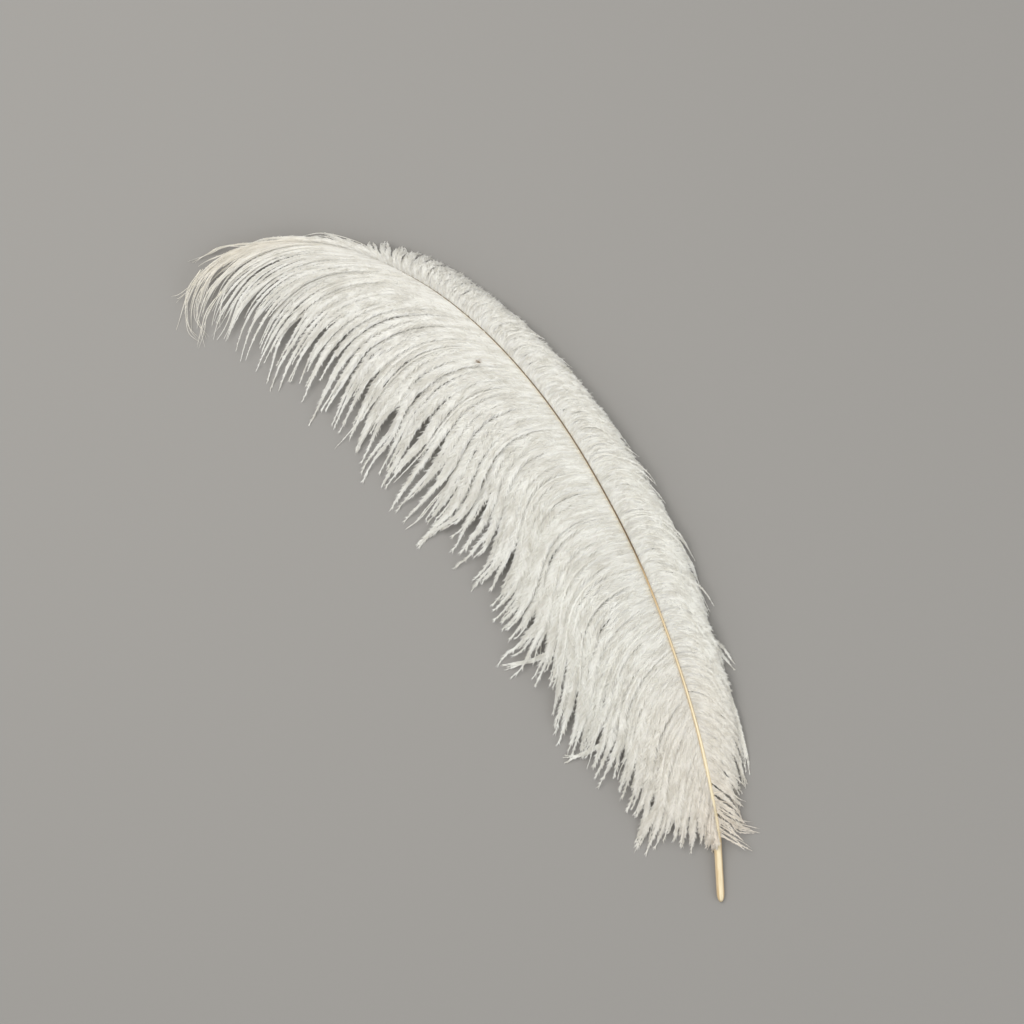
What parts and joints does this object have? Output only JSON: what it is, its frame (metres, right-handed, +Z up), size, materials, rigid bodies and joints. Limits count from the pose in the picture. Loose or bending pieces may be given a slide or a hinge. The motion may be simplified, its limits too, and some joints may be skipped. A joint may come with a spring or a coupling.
{
  "type": "ostrich feather",
  "caption": "Loose ostrich plume lying face up: a long shaft bent in an arch, a wide vane of soft drooping barbs inside the bend, a narrow curled vane outside it and a soft drooping tip.",
  "frame": {"origin": "on the table, under the middle of the plume's outline as seen from above", "axes": "+Z up from the table, +Y from the bare quill end towards the top of the arch, +X towards the outer side of the arch, where the narrow vane is; the soft tip is on the -X side"},
  "size_m": [0.3787, 0.4376, 0.0269],
  "materials": {
    "barbs": "soft white feather barbs, matt, letting some light through",
    "shaft": "cream horn-like keratin with a dull shine, browner along one edge and towards the tip"
  },
  "bodies": {
    "root": {"ostrich_feather": "barbs"}
  },
  "joints": []
}
